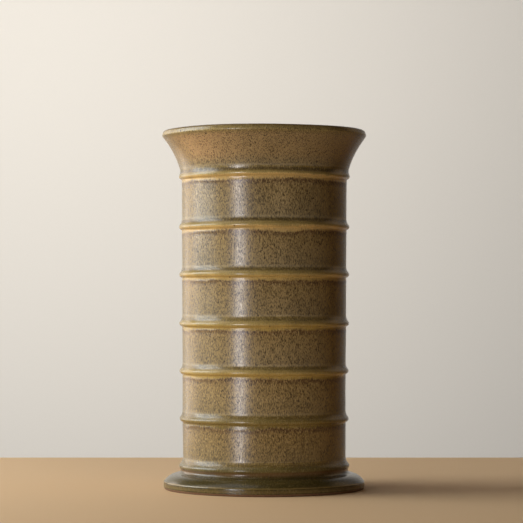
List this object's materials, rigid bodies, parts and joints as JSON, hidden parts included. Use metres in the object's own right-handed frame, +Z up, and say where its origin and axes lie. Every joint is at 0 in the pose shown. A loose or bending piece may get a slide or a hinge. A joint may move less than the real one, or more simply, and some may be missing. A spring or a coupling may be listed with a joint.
{
  "type": "stoneware vase",
  "caption": "Tall cylindrical stoneware vase with a flared rim, raised bead rings round the wall and a wide flat foot flange, in a matt olive-brown glaze, for holding stems.",
  "frame": {"origin": "centre of the flat ring that the vase stands on, at table height", "axes": "+Z up the vase's axis, from the foot to the lip; +X and +Y are any two directions square to it, because the vase is turned about Z"},
  "size_m": [0.1746, 0.1746, 0.305],
  "materials": {
    "stoneware_clay": "bare fired iron-bearing stoneware, dry and slightly gritty",
    "ash_glaze": "satin reduction glaze, mottled olive brown, pooling grey-green over the beads and breaking ochre on their crests",
    "liner_glaze": "the same satin glaze, thinner and more even, with faint throwing rings under it"
  },
  "bodies": {
    "root": {"foot_plate": "stoneware_clay", "body_wall": "stoneware_clay", "rim_collar": "stoneware_clay", "foot_bead": "stoneware_clay", "bead_1": "stoneware_clay", "bead_2": "stoneware_clay", "bead_3": "stoneware_clay", "bead_4": "stoneware_clay", "bead_5": "stoneware_clay", "bead_6": "stoneware_clay", "outer_glaze": "ash_glaze", "inner_glaze": "liner_glaze"}
  },
  "joints": []
}
